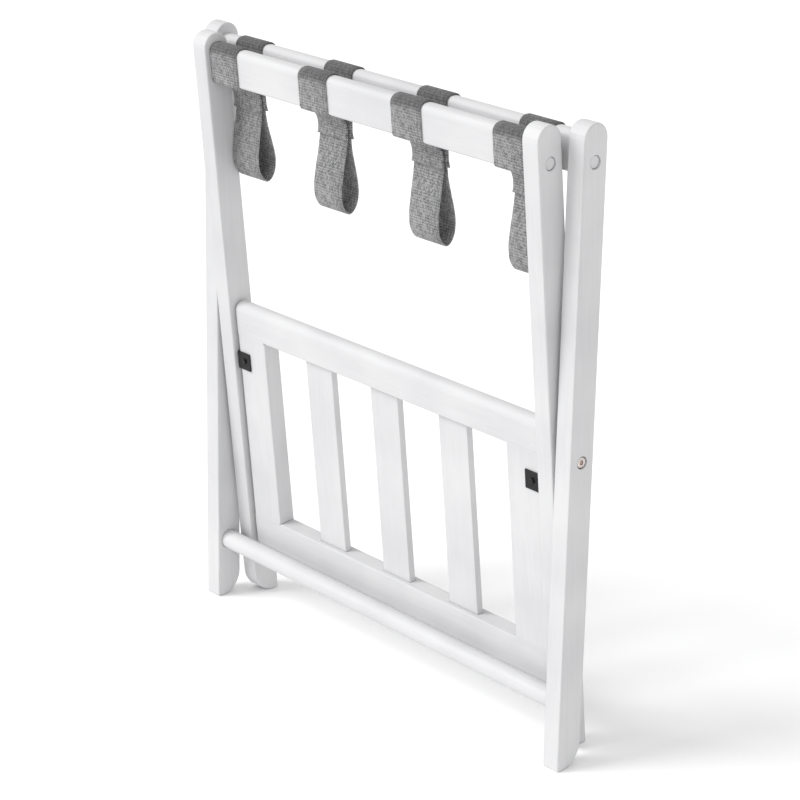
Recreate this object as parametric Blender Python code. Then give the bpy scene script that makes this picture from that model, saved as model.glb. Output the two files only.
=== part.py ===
"""Folding luggage rack: two hinged wooden frames, a swing-down slatted shelf and four webbing straps.

Metres, +Z up, X across the width, -Y towards the front. The rack stands folded: the inner frame
leans its top forwards, the outer frame leans its top backwards, and both turn about one bolt line.
"""
import math

import bmesh
import bpy
from mathutils import Matrix, Vector

# ---------------------------------------------------------------- driving sizes
RACK_WIDTH = 0.527          # over the outer legs
LEG_LENGTH = 0.610          # end to end
LEG_DEPTH = 0.028
LEG_THICK = 0.0198
LEG_GAP = 0.004             # washer space between an inner and an outer leg
FOOT_ROUND = 0.024          # quarter round on the inward corner of a leg's foot
LEG_EDGE_ROUND = 0.0013
PIVOT_SHARE = 0.4956        # main bolt's height as a share of the leg's length
FOLD_CLEARANCE = 0.0021     # folded: foot dowel to the fronts of the inner legs

RAIL_HEIGHT = 0.0365
RAIL_THICK = 0.016
RAIL_TOP_DROP = 0.0102      # leg top down to rail top
RAIL_TOP_ROUND = 0.0065
RAIL_BOTTOM_ROUND = 0.0025

RAIL_SCREW_DROP = 0.0344    # leg top down to screw
SCREW_SHANK_R = 0.0024
SCREW_HEAD_R = 0.0045
SCREW_HEAD_THICK = 0.0034
SCREW_BITE = 0.030          # shank length inside the rail
PLUG_R = 0.0060
PLUG_THICK = 0.0026
PLUG_RECESS = 0.0014
COUNTERBORE_DEEP = 0.0080

BOLT_HEAD_R = 0.0052
BOLT_HEAD_THICK = 0.0034
BOLT_HEAD_RECESS = 0.0006
BOLT_SHANK_R = 0.0030
BOLT_POCKET_R = 0.0060
HEX_SOCKET_R = 0.0025
HEX_SOCKET_DEEP = 0.0026
NUT_R = 0.0050
NUT_LENGTH = 0.0140
WASHER_R = 0.0095

DOWEL_R = 0.0099
DOWEL_UP = 0.0627           # foot dowel above the bottom end of an outer leg
DOWEL_TENON = 0.0090

SHELF_THICK = 0.018
SHELF_TOP_RISE = 0.030      # shelf top above the main bolt, along the leg
SHELF_LENGTH = 0.272
SHELF_RAIL_TALL = 0.034
SHELF_FOOT_RAIL_TALL = 0.0365
SHELF_STILE_WIDE = 0.0419
SHELF_SIDE_GAP = 0.003
SLAT_COUNT = 3
SLAT_WIDE = 0.0395
SLAT_PITCH = 0.097
SLAT_THICK = 0.007
SLAT_BACK_SHIFT = 0.0       # slat middle behind the shelf's middle plane
SLAT_TENON = 0.008
SHELF_EDGE_ROUND = 0.0012

SHELF_PIN_R = 0.0040
SHELF_PIN_UP = 0.014        # pin above the shelf's lower edge
SHELF_PIN_IN_LEG = 0.011
SHELF_PIN_IN_SHELF = 0.016
SHELF_DOWEL_R = 0.0040
SHELF_DOWEL_HALF = 0.013

CATCH_SIZE = 0.0185
CATCH_DROP = 0.0612         # shelf top edge down to the plate's middle
CATCH_METAL = 0.0013
CATCH_RETURN = 0.0120
CATCH_SCREW_R = 0.0015
CATCH_SCREW_HEAD_R = 0.0030
CATCH_SCREW_HEAD_THICK = 0.0013
CATCH_SCREW_LONG = 0.0100

STRAP_WIDE = 0.0400
STRAP_THICK = 0.0015
STRAP_INNER_X = 0.0653      # middle of the two inner straps
STRAP_OUTER_X = 0.1985      # middle of the two outer straps
STRAP_HANG = 0.097          # rail's lower rear edge down to the hanging fold
STRAP_TAB = 0.030           # sewn double layer below the rail
STRAP_REAR_BULGE = 0.009
STRAP_FRONT_BULGE = 0.003

FIT = 0.0003                # clearance between touching pieces
ARC = 10                    # segments in a half circle of the leg ends

# ---------------------------------------------------------------- derived places
PIVOT_UP = LEG_LENGTH * PIVOT_SHARE
PIVOT_ABOVE = LEG_LENGTH - PIVOT_UP
FOLD_HALF_ANGLE = math.asin((LEG_DEPTH / 2 + DOWEL_R + FOLD_CLEARANCE) / (2 * (PIVOT_UP - DOWEL_UP)))
END_R = LEG_DEPTH / 2
PIVOT_Z = ((PIVOT_UP - FOOT_ROUND) * math.cos(FOLD_HALF_ANGLE)
           - (FOOT_ROUND - END_R) * math.sin(FOLD_HALF_ANGLE) + FOOT_ROUND)
OUTER_FACE_X = RACK_WIDTH / 2
OUTER_INSIDE_X = OUTER_FACE_X - LEG_THICK
INNER_FACE_X = OUTER_INSIDE_X - LEG_GAP
INNER_INSIDE_X = INNER_FACE_X - LEG_THICK
RAIL_TOP = PIVOT_ABOVE - RAIL_TOP_DROP
RAIL_BOTTOM = RAIL_TOP - RAIL_HEIGHT
SCREW_LEVEL = PIVOT_ABOVE - RAIL_SCREW_DROP
DOWEL_LEVEL = DOWEL_UP - PIVOT_UP
SHELF_TOP = SHELF_TOP_RISE
SHELF_BOTTOM = SHELF_TOP - SHELF_LENGTH
SHELF_PIN_LEVEL = SHELF_BOTTOM + SHELF_PIN_UP
SHELF_HALF = INNER_INSIDE_X - SHELF_SIDE_GAP
STRAP_LAYER = STRAP_THICK + FIT
STRAP_XS = (-STRAP_OUTER_X, -STRAP_INNER_X, STRAP_INNER_X, STRAP_OUTER_X)

INNER_TILT = FOLD_HALF_ANGLE
OUTER_TILT = -FOLD_HALF_ANGLE

WHITE_PAINT = ("white_paint", (0.86, 0.86, 0.85), 0.0, 0.42)
GREY_WEB = ("grey_webbing", (0.20, 0.20, 0.205), 0.0, 0.85)
BLACK_STEEL = ("black_steel", (0.03, 0.03, 0.032), 0.4, 0.5)
NICKEL = ("nickel_plate", (0.62, 0.58, 0.52), 1.0, 0.28)
ZINC = ("zinc_steel", (0.55, 0.56, 0.58), 1.0, 0.4)
BEECH = ("bare_beech", (0.62, 0.45, 0.28), 0.0, 0.6)
NYLON = ("white_nylon", (0.80, 0.80, 0.78), 0.0, 0.5)


# ---------------------------------------------------------------- small builders
def clear_scene():
    for obj in list(bpy.data.objects):
        bpy.data.objects.remove(obj, do_unlink=True)


def finish_of(node, recipe):
    label, colour, metal, rough = recipe
    mat = bpy.data.materials.new(node + "_" + label)
    mat.use_nodes = True
    shader = mat.node_tree.nodes["Principled BSDF"]
    shader.inputs["Base Color"].default_value = (*colour, 1.0)
    shader.inputs["Metallic"].default_value = metal
    shader.inputs["Roughness"].default_value = rough
    mat.diffuse_color = (*colour, 1.0)
    return mat


def mesh_object(name, bm):
    bmesh.ops.recalc_face_normals(bm, faces=bm.faces)
    mesh = bpy.data.meshes.new(name)
    bm.to_mesh(mesh)
    bm.free()
    obj = bpy.data.objects.new(name, mesh)
    bpy.context.scene.collection.objects.link(obj)
    return obj


def prism(name, outline, low, high, along="X"):
    """Closed outline in the plane across `along`, pulled from low to high."""
    bm = bmesh.new()
    ends = []
    for place in (low, high):
        ring = []
        for u, v in outline:
            if along == "X":
                ring.append(bm.verts.new((place, u, v)))
            elif along == "Y":
                ring.append(bm.verts.new((u, place, v)))
            else:
                ring.append(bm.verts.new((u, v, place)))
        ends.append(ring)
    count = len(outline)
    bm.faces.new(ends[0])
    bm.faces.new(list(reversed(ends[1])))
    for i in range(count):
        j = (i + 1) % count
        bm.faces.new((ends[0][i], ends[0][j], ends[1][j], ends[1][i]))
    return mesh_object(name, bm)


def ring_prism(name, outer, inner, low, high):
    """Closed band: outer outline with the inner outline open through it, along X."""
    bm = bmesh.new()
    rows = [[bm.verts.new((x, u, v)) for u, v in line]
            for x in (low, high) for line in (outer, inner)]
    low_out, low_in, high_out, high_in = rows
    count = len(outer)
    for i in range(count):
        j = (i + 1) % count
        bm.faces.new((low_out[i], low_out[j], high_out[j], high_out[i]))
        bm.faces.new((low_in[j], low_in[i], high_in[i], high_in[j]))
        bm.faces.new((low_out[j], low_out[i], low_in[i], low_in[j]))
        bm.faces.new((high_out[i], high_out[j], high_in[j], high_in[i]))
    return mesh_object(name, bm)


def circle(radius, count, centre=(0.0, 0.0), turn=0.0):
    return [(centre[0] + radius * math.cos(turn + 2 * math.pi * i / count),
             centre[1] + radius * math.sin(turn + 2 * math.pi * i / count)) for i in range(count)]


def rounded_box(half_u, low_v, high_v, r_low, r_high, steps=5):
    """Outline of a bar section with its own corner radius above and below."""
    corners = ((half_u, low_v, r_low, -90), (half_u, high_v, r_high, 0),
               (-half_u, high_v, r_high, 90), (-half_u, low_v, r_low, 180))
    line = []
    for u, v, r, start in corners:
        cu = u - math.copysign(r, u)
        cv = v + r if v == low_v else v - r
        for k in range(steps + 1):
            a = math.radians(start + 90 * k / steps)
            line.append((cu + r * math.cos(a), cv + r * math.sin(a)))
    return line


def box(name, low, high):
    outline = [(low[1], low[2]), (high[1], low[2]), (high[1], high[2]), (low[1], high[2])]
    return prism(name, outline, low[0], high[0])


def rod(name, radius, low, high, y=0.0, z=0.0, count=24):
    return prism(name, circle(radius, count, (y, z), math.pi / count), low, high)


def settle(obj):
    """Turn the object's modifiers into its mesh."""
    graph = bpy.context.evaluated_depsgraph_get()
    mesh = bpy.data.meshes.new_from_object(obj.evaluated_get(graph))
    old = obj.data
    obj.modifiers.clear()
    obj.data = mesh
    bpy.data.meshes.remove(old)
    mesh.name = obj.name


def soften(obj, radius, segments=2, angle=50.0):
    bevel = obj.modifiers.new("edge_round", "BEVEL")
    bevel.width = radius
    bevel.segments = segments
    bevel.limit_method = "ANGLE"
    bevel.angle_limit = math.radians(angle)
    settle(obj)


def combine(obj, tools, operation):
    for tool in tools:
        step = obj.modifiers.new("joinery", "BOOLEAN")
        step.operation = operation
        step.solver = "EXACT"
        step.object = tool
        settle(obj)
        bpy.data.objects.remove(tool, do_unlink=True)
    bm = bmesh.new()
    bm.from_mesh(obj.data)
    bmesh.ops.remove_doubles(bm, verts=bm.verts, dist=1e-6)
    bmesh.ops.recalc_face_normals(bm, faces=bm.faces)
    bm.to_mesh(obj.data)
    bm.free()


def place(obj, recipe, joint, tilt=0.0, smooth=True):
    """Put a piece drawn about the main bolt line at its place, with its origin on `joint`.

    joint is (y, z) in the leaning frame, measured from the main bolt.
    """
    obj.data.transform(Matrix.Translation(Vector((0.0, -joint[0], -joint[1]))))
    turn = Matrix.Rotation(tilt, 4, "X")
    obj.location = turn @ Vector((0.0, joint[0], joint[1])) + Vector((0.0, 0.0, PIVOT_Z))
    obj.rotation_euler = (tilt, 0.0, 0.0)
    obj.data.materials.clear()
    obj.data.materials.append(finish_of(obj.name, recipe))
    if smooth:
        obj.data.shade_smooth()
        obj.data.set_sharp_from_angle(angle=math.radians(35))
    return obj


def side_name(sign):
    return "left" if sign < 0 else "right"


def span_x(sign, a, b):
    low, high = sorted((sign * a, sign * b))
    return low, high


# ---------------------------------------------------------------- legs
def leg_outline(outward):
    """Bar with a half-round top, in (y, z) from the main bolt.

    Its foot keeps a square corner on the side `outward` points to, +1 or -1 along y, and
    is rounded on the other, so that it rolls on the floor as the leg leans.
    """
    line = []
    for k in range(ARC + 1):
        a = math.pi * k / ARC
        line.append((END_R * math.cos(a), PIVOT_ABOVE - END_R + END_R * math.sin(a)))
    foot = [(outward * END_R, -PIVOT_UP)]
    for k in range(ARC + 1):
        a = math.pi / 2 * k / ARC
        foot.append((outward * (FOOT_ROUND - END_R - FOOT_ROUND * math.sin(a)),
                     FOOT_ROUND - PIVOT_UP - FOOT_ROUND * math.cos(a)))
    if outward > 0:
        foot.reverse()
    return line + foot


def rail_screw_holes(sign, face_x):
    pocket = rod("pocket", PLUG_R + FIT, *span_x(sign, face_x - COUNTERBORE_DEEP, face_x + FIT * 4),
                 z=SCREW_LEVEL)
    hole = rod("hole", SCREW_SHANK_R + FIT,
               *span_x(sign, face_x - LEG_THICK - FIT * 4, face_x - COUNTERBORE_DEEP / 2),
               z=SCREW_LEVEL, count=16)
    return [pocket, hole]


def outer_leg(sign):
    leg = prism("outer_leg_" + side_name(sign), leg_outline(-1),
                *span_x(sign, OUTER_INSIDE_X, OUTER_FACE_X))
    soften(leg, LEG_EDGE_ROUND)
    head_deep = BOLT_HEAD_RECESS + BOLT_HEAD_THICK + FIT
    cuts = rail_screw_holes(sign, OUTER_FACE_X)
    cuts.append(rod("pocket", BOLT_POCKET_R, *span_x(sign, OUTER_FACE_X - head_deep,
                                                     OUTER_FACE_X + FIT * 4)))
    cuts.append(rod("hole", BOLT_SHANK_R + FIT,
                    *span_x(sign, OUTER_INSIDE_X - FIT * 4, OUTER_FACE_X - head_deep / 2),
                    count=16))
    cuts.append(rod("socket", DOWEL_R + FIT,
                    *span_x(sign, OUTER_INSIDE_X - FIT * 4, OUTER_INSIDE_X + DOWEL_TENON + FIT),
                    z=DOWEL_LEVEL, count=28))
    combine(leg, cuts, "DIFFERENCE")
    return place(leg, WHITE_PAINT, (0.0, 0.0), OUTER_TILT)


def inner_leg(sign):
    leg = prism("inner_leg_" + side_name(sign), leg_outline(1),
                *span_x(sign, INNER_INSIDE_X, INNER_FACE_X))
    soften(leg, LEG_EDGE_ROUND)
    cuts = rail_screw_holes(sign, INNER_FACE_X)
    cuts.append(rod("insert_seat", NUT_R + FIT,
                    *span_x(sign, INNER_FACE_X - NUT_LENGTH - FIT * 2, INNER_FACE_X + FIT * 4),
                    count=20))
    cuts.append(rod("pin_seat", SHELF_PIN_R + FIT,
                    *span_x(sign, INNER_INSIDE_X - FIT * 4,
                            INNER_INSIDE_X + SHELF_PIN_IN_LEG + FIT),
                    z=SHELF_PIN_LEVEL, count=16))
    combine(leg, cuts, "DIFFERENCE")
    return place(leg, WHITE_PAINT, (0.0, 0.0), INNER_TILT)


# ---------------------------------------------------------------- rails and dowel
def top_rail(name, inside_x, tilt):
    half = inside_x - FIT
    rail = prism(name, rounded_box(RAIL_THICK / 2, RAIL_BOTTOM, RAIL_TOP, RAIL_BOTTOM_ROUND,
                                   RAIL_TOP_ROUND), -half, half)
    cuts = [rod("pilot", SCREW_SHANK_R + FIT,
                *span_x(sign, half - SCREW_BITE - FIT, half + FIT * 4), z=SCREW_LEVEL, count=16)
            for sign in (-1, 1)]
    combine(rail, cuts, "DIFFERENCE")
    return place(rail, WHITE_PAINT, (0.0, 0.0), tilt)


def rail_screw(name, sign, face_x, tilt):
    seat = face_x - COUNTERBORE_DEEP + FIT
    tip = face_x - LEG_THICK - SCREW_BITE
    head = rod(name, SCREW_HEAD_R, *span_x(sign, seat, seat + SCREW_HEAD_THICK), z=SCREW_LEVEL)
    shank = rod("shank", SCREW_SHANK_R, *span_x(sign, tip, seat + FIT), z=SCREW_LEVEL, count=16)
    combine(head, [shank], "UNION")
    return place(head, ZINC, (0.0, 0.0), tilt)


def screw_plug(name, sign, face_x, tilt):
    outside = face_x - PLUG_RECESS
    plug = rod(name, PLUG_R, *span_x(sign, outside - PLUG_THICK, outside), z=SCREW_LEVEL)
    soften(plug, 0.0005, segments=1)
    return place(plug, WHITE_PAINT, (0.0, 0.0), tilt)


def foot_dowel():
    half = OUTER_INSIDE_X + DOWEL_TENON
    dowel = rod("foot_dowel", DOWEL_R, -half, half, z=DOWEL_LEVEL, count=32)
    return place(dowel, WHITE_PAINT, (0.0, 0.0), OUTER_TILT)


# ---------------------------------------------------------------- main bolt line
def pivot_hardware(sign):
    side = side_name(sign)
    outside = OUTER_FACE_X - BOLT_HEAD_RECESS
    under_head = outside - BOLT_HEAD_THICK
    tip = INNER_FACE_X - NUT_LENGTH + FIT
    bolt = rod("pivot_bolt_" + side, BOLT_HEAD_R, *span_x(sign, under_head, outside), count=28)
    soften(bolt, 0.0009, segments=2)
    shank = rod("shank", BOLT_SHANK_R, *span_x(sign, tip, under_head + FIT), count=20)
    combine(bolt, [shank], "UNION")
    socket = prism("socket", circle(HEX_SOCKET_R, 6), *span_x(sign, outside - HEX_SOCKET_DEEP,
                                                              outside + FIT * 4))
    combine(bolt, [socket], "DIFFERENCE")
    place(bolt, NICKEL, (0.0, 0.0), INNER_TILT)

    rim, bore = circle(WASHER_R, 28), circle(BOLT_SHANK_R + FIT, 28)
    washer = ring_prism("pivot_washer_" + side, rim, bore,
                        *span_x(sign, INNER_FACE_X + FIT, OUTER_INSIDE_X - FIT))
    place(washer, NYLON, (0.0, 0.0), INNER_TILT)

    rim = circle(NUT_R, 20)
    bore = circle(BOLT_SHANK_R + FIT, 20)
    nut = ring_prism("pivot_insert_nut_" + side, rim, bore,
                     *span_x(sign, INNER_FACE_X - NUT_LENGTH, INNER_FACE_X - FIT))
    place(nut, ZINC, (0.0, 0.0), INNER_TILT)


# ---------------------------------------------------------------- shelf
def slat_xs():
    first = -SLAT_PITCH * (SLAT_COUNT - 1) / 2
    return [first + SLAT_PITCH * i for i in range(SLAT_COUNT)]


def slat_y():
    return SLAT_BACK_SHIFT - SLAT_THICK / 2, SLAT_BACK_SHIFT + SLAT_THICK / 2


def shelf_place(obj, recipe):
    return place(obj, recipe, (0.0, SHELF_PIN_LEVEL), INNER_TILT)


def slat_mortises(low, high):
    near, far = slat_y()
    return [box("mortise", (x - SLAT_WIDE / 2 - FIT, near - FIT, low),
                (x + SLAT_WIDE / 2 + FIT, far + FIT, high)) for x in slat_xs()]


def shelf_dowel_x():
    return SHELF_HALF - SHELF_STILE_WIDE / 2


def dowel_holes(low, high):
    return [prism("dowel_hole", circle(SHELF_DOWEL_R + FIT, 16, (sign * shelf_dowel_x(), 0.0)),
                  low, high, "Z") for sign in (-1, 1)]


def shelf_rails():
    deep = SHELF_THICK / 2
    under = SHELF_TOP - SHELF_RAIL_TALL
    nose = rounded_box(deep, under, SHELF_TOP, SHELF_EDGE_ROUND, deep - 0.0003, steps=8)
    front = prism("shelf_nose_rail", nose, -SHELF_HALF, SHELF_HALF)
    cuts = slat_mortises(under - 0.002, under + SLAT_TENON + FIT)
    cuts += dowel_holes(under - 0.002, under + SHELF_DOWEL_HALF + FIT)
    combine(front, cuts, "DIFFERENCE")
    shelf_place(front, WHITE_PAINT)

    top = SHELF_BOTTOM + SHELF_FOOT_RAIL_TALL
    bar = rounded_box(deep, SHELF_BOTTOM, top, 0.004, SHELF_EDGE_ROUND, steps=4)
    back = prism("shelf_pivot_rail", bar, -SHELF_HALF, SHELF_HALF)
    cuts = slat_mortises(top - SLAT_TENON - FIT, top + 0.002)
    cuts += dowel_holes(top - SHELF_DOWEL_HALF - FIT, top + 0.002)
    cuts += [rod("pin_hole", SHELF_PIN_R + FIT,
                 *span_x(sign, SHELF_HALF - SHELF_PIN_IN_SHELF - FIT, SHELF_HALF + 0.002),
                 z=SHELF_PIN_LEVEL, count=16) for sign in (-1, 1)]
    combine(back, cuts, "DIFFERENCE")
    shelf_place(back, WHITE_PAINT)


def catch_level():
    return SHELF_TOP - CATCH_DROP


def catch_screw_x(sign):
    return sign * (SHELF_HALF - CATCH_SIZE * 0.44)


def shelf_stile(sign):
    low = SHELF_BOTTOM + SHELF_FOOT_RAIL_TALL + FIT
    high = SHELF_TOP - SHELF_RAIL_TALL - FIT
    xa, xb = span_x(sign, SHELF_HALF - SHELF_STILE_WIDE, SHELF_HALF)
    deep = SHELF_THICK / 2
    r = SHELF_EDGE_ROUND
    mid = (xa + xb) / 2
    section = [(mid + u, v) for u, v in rounded_box((xb - xa) / 2, -deep, deep, r, r, steps=2)]
    stile = prism("shelf_stile_" + side_name(sign), section, low, high, "Z")
    cuts = [prism("dowel_hole", circle(SHELF_DOWEL_R + FIT, 16, (sign * shelf_dowel_x(), 0.0)),
                  a, b, "Z") for a, b in ((low - 0.002, low + SHELF_DOWEL_HALF),
                                          (high - SHELF_DOWEL_HALF, high + 0.002))]
    cuts.append(prism("pilot", circle(CATCH_SCREW_R + FIT, 12,
                                      (catch_screw_x(sign), catch_level())),
                      -deep - 0.002, -deep + CATCH_SCREW_LONG, "Y"))
    combine(stile, cuts, "DIFFERENCE")
    shelf_place(stile, WHITE_PAINT)


def shelf_slat(index, x):
    near, far = slat_y()
    low = SHELF_BOTTOM + SHELF_FOOT_RAIL_TALL - SLAT_TENON
    high = SHELF_TOP - SHELF_RAIL_TALL + SLAT_TENON
    section = [(x + u, SLAT_BACK_SHIFT + v)
               for u, v in rounded_box(SLAT_WIDE / 2, -SLAT_THICK / 2, SLAT_THICK / 2,
                                       0.0008, 0.0008, steps=2)]
    slat = prism("shelf_slat_%d" % index, section, low, high, "Z")
    shelf_place(slat, WHITE_PAINT)


def shelf_joint_dowels():
    low = SHELF_BOTTOM + SHELF_FOOT_RAIL_TALL
    high = SHELF_TOP - SHELF_RAIL_TALL
    reach = SHELF_DOWEL_HALF - FIT
    for sign in (-1, 1):
        for tag, level in (("lower", low), ("upper", high)):
            pin = prism("shelf_joint_dowel_%s_%s" % (tag, side_name(sign)),
                        circle(SHELF_DOWEL_R, 16, (sign * shelf_dowel_x(), 0.0)),
                        level - reach, level + reach, "Z")
            shelf_place(pin, BEECH)


def shelf_pivot_pin(sign):
    pin = rod("shelf_pivot_pin_" + side_name(sign), SHELF_PIN_R,
              *span_x(sign, SHELF_HALF - SHELF_PIN_IN_SHELF, INNER_INSIDE_X + SHELF_PIN_IN_LEG),
              z=SHELF_PIN_LEVEL, count=20)
    place(pin, ZINC, (0.0, 0.0), INNER_TILT)


def catch_plate(sign):
    """Angle plate: one flange on the shelf's front face, one round its side edge."""
    level = catch_level()
    face = -SHELF_THICK / 2 - FIT
    outside = SHELF_HALF + FIT + CATCH_METAL
    flange_x = span_x(sign, SHELF_HALF - CATCH_SIZE + FIT + CATCH_METAL, outside)
    half = CATCH_SIZE / 2
    plate = box("shelf_catch_" + side_name(sign),
                (flange_x[0], face - CATCH_METAL, level - half),
                (flange_x[1], face, level + half))
    side_x = span_x(sign, SHELF_HALF + FIT, outside)
    lip = box("lip", (side_x[0], face - CATCH_METAL, level - half),
              (side_x[1], face + CATCH_RETURN, level + half))
    combine(plate, [lip], "UNION")
    hole = prism("hole", circle(CATCH_SCREW_R + FIT, 16, (catch_screw_x(sign), level)),
                 face - CATCH_METAL - 0.001, face + 0.001, "Y")
    combine(plate, [hole], "DIFFERENCE")
    shelf_place(plate, BLACK_STEEL)

    top = face - CATCH_METAL - FIT
    screw = prism("catch_screw_" + side_name(sign),
                  circle(CATCH_SCREW_HEAD_R, 20, (catch_screw_x(sign), level)),
                  top - CATCH_SCREW_HEAD_THICK, top, "Y")
    soften(screw, 0.0004, segments=1)
    shank = prism("shank", circle(CATCH_SCREW_R, 12, (catch_screw_x(sign), level)),
                  top - FIT, -SHELF_THICK / 2 + CATCH_SCREW_LONG - FIT * 2, "Y")
    combine(screw, [shank], "UNION")
    shelf_place(screw, BLACK_STEEL)


# ---------------------------------------------------------------- straps
def strap_wrap(name, x, tilt):
    """Webbing turned once round a top rail."""
    def outline(grow):
        return rounded_box(RAIL_THICK / 2 + grow, RAIL_BOTTOM - grow, RAIL_TOP + grow,
                           RAIL_BOTTOM_ROUND + grow, RAIL_TOP_ROUND + grow, steps=4)
    band = ring_prism(name, outline(FIT + STRAP_THICK), outline(FIT),
                      x - STRAP_WIDE / 2, x + STRAP_WIDE / 2)
    return place(band, GREY_WEB, (0.0, 0.0), tilt)


def strap_root():
    """Where a hanging strap leaves its rail, in the leaning frame: (y, z) of the inner frame."""
    return RAIL_THICK / 2, RAIL_BOTTOM - STRAP_LAYER - 2 * FIT


def upright(point, tilt):
    """Leaning-frame (y, z) to upright (y, z), both from the main bolt."""
    c, s = math.cos(tilt), math.sin(tilt)
    return point[0] * c - point[1] * s, point[0] * s + point[1] * c


def hang_points():
    """Upright (y, z) of the two strap roots and of the hanging fold, from the main bolt."""
    front = upright(strap_root(), INNER_TILT)
    rear = (-front[0], front[1])
    fold = (0.0, front[1] - STRAP_HANG)
    return front, fold, rear


def hanging_line(start, end, bow, steps=14):
    """Smooth run from a rail down to the fold, bowed away from the middle near its foot."""
    line = []
    for k in range(steps + 1):
        t = k / steps
        belly = math.sin(math.pi * t ** 1.9) * bow
        y = start[0] * (1 - t) + end[0] * t + belly
        z = start[1] + (end[1] - start[1]) * math.sin(t * math.pi / 2) ** 1.12
        line.append((y, z))
    return line


def ribbon_outline(line, half, tab_length, tab_side):
    """Thin band about a line; its first tab_length is doubled on one side."""
    left, right = [], []
    run = 0.0
    for i, (y, z) in enumerate(line):
        a, b = line[max(i - 1, 0)], line[min(i + 1, len(line) - 1)]
        dy, dz = b[0] - a[0], b[1] - a[1]
        if i == len(line) - 1:
            dz = 0.0            # the two halves meet face to face at the fold
        size = math.hypot(dy, dz)
        ny, nz = -dz / size, dy / size
        if i:
            run += math.hypot(y - line[i - 1][0], z - line[i - 1][1])
        extra = 2 * half if run < tab_length else 0.0
        grow_l = half + (extra if tab_side > 0 else 0.0)
        grow_r = half + (extra if tab_side < 0 else 0.0)
        left.append((y + ny * grow_l, z + nz * grow_l))
        right.append((y - ny * grow_r, z - nz * grow_r))
    return left + list(reversed(right))


def hanging_half(name, x, front):
    """Half of a hanging strap: from its rail's lower edge to the fold at the bottom."""
    root_front, fold, root_rear = hang_points()
    gap = FIT / 2 if front else -FIT / 2
    if front:
        start, bow, joint = root_front, -STRAP_FRONT_BULGE, root_front
    else:
        start, bow, joint = root_rear, STRAP_REAR_BULGE, fold
    line = hanging_line(start, (fold[0] - gap, fold[1]), bow)
    outline = ribbon_outline(line, STRAP_THICK / 2, STRAP_TAB, 1 if front else -1)
    strap = prism(name, outline, x - STRAP_WIDE / 2, x + STRAP_WIDE / 2)
    return place(strap, GREY_WEB, joint, 0.0)


def straps():
    for number, x in enumerate(STRAP_XS, start=1):
        strap_wrap("strap_%d_front_wrap" % number, x, INNER_TILT)
        strap_wrap("strap_%d_rear_wrap" % number, x, OUTER_TILT)
        hanging_half("strap_%d_front_half" % number, x, True)
        hanging_half("strap_%d_rear_half" % number, x, False)


# ---------------------------------------------------------------- assembly
def build():
    clear_scene()
    for sign in (-1, 1):
        side = side_name(sign)
        outer_leg(sign)
        inner_leg(sign)
        rail_screw("outer_rail_screw_" + side, sign, OUTER_FACE_X, OUTER_TILT)
        rail_screw("inner_rail_screw_" + side, sign, INNER_FACE_X, INNER_TILT)
        screw_plug("outer_screw_plug_" + side, sign, OUTER_FACE_X, OUTER_TILT)
        screw_plug("inner_screw_plug_" + side, sign, INNER_FACE_X, INNER_TILT)
        pivot_hardware(sign)
        shelf_stile(sign)
        shelf_pivot_pin(sign)
        catch_plate(sign)
    top_rail("rear_top_rail", OUTER_INSIDE_X, OUTER_TILT)
    top_rail("front_top_rail", INNER_INSIDE_X, INNER_TILT)
    foot_dowel()
    shelf_rails()
    for index, x in enumerate(slat_xs(), start=1):
        shelf_slat(index, x)
    shelf_joint_dowels()
    straps()


build()
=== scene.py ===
"""Folding luggage rack: finishes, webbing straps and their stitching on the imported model.

Metres, +Z up, X across the width, -Y towards the front. The rack stands folded, with the inner
frame's top leaning forwards and the outer frame's top leaning backwards about one bolt line.
"""
import logging
import math
from dataclasses import dataclass, field
from enum import Enum
from typing import Sequence

import bmesh
import bpy
from mathutils import Euler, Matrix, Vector


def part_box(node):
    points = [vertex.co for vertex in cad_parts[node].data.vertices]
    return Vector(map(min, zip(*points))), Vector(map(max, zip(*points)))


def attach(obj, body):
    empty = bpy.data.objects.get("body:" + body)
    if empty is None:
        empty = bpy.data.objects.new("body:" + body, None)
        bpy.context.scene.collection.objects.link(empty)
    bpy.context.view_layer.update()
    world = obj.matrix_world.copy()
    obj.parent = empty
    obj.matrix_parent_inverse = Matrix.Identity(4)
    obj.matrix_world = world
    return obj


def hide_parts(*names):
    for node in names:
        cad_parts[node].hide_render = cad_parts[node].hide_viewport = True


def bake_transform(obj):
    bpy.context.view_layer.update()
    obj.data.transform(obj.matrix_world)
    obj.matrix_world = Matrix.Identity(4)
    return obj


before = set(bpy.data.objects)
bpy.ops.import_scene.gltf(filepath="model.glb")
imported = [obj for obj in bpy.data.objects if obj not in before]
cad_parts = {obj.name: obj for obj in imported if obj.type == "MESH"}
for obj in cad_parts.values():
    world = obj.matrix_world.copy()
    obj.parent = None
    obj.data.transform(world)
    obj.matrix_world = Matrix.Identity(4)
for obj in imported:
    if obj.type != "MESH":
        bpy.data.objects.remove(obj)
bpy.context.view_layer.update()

LOG = logging.getLogger("luggage_rack")

Point2 = tuple[float, float]
Triple = tuple[float, float, float]
Colour = Triple


class Lay(Enum):
    """Which way the long grain of a wooden piece runs."""

    UPRIGHT = "upright"
    ACROSS = "across"


class Side(Enum):
    """Which of the two hinged frames a strap end belongs to."""

    FRONT = "front"
    REAR = "rear"


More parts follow.
